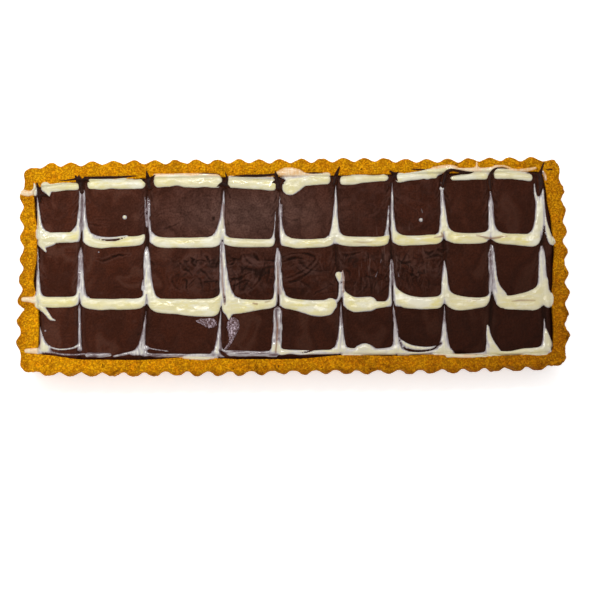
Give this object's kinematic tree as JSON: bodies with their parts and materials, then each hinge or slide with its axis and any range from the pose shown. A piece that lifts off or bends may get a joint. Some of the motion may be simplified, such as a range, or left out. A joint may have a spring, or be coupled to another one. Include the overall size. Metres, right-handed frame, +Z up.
{
  "type": "chocolate tart",
  "caption": "Long rectangular tart: fluted baked pastry case filled with dark ganache, topped with white icing lines feathered by a knife.",
  "frame": {"origin": "centre of the underside", "axes": "+X along the long side, +Y across it in the direction the knife dragged the icing, +Z up out of the filling"},
  "size_m": [0.35, 0.138, 0.025],
  "materials": {
    "pastry": "matte, crumbly, golden baked shortcrust",
    "ganache": "satin set chocolate with soft knife marks",
    "icing": "glossy cream-white icing, thin and greyish where it was dragged"
  },
  "bodies": {
    "root": {"pastry_case": "pastry", "ganache_filling": "ganache", "icing_line_top": "icing", "icing_line_upper": "icing", "icing_line_lower": "icing", "icing_line_bottom": "icing"}
  },
  "joints": []
}
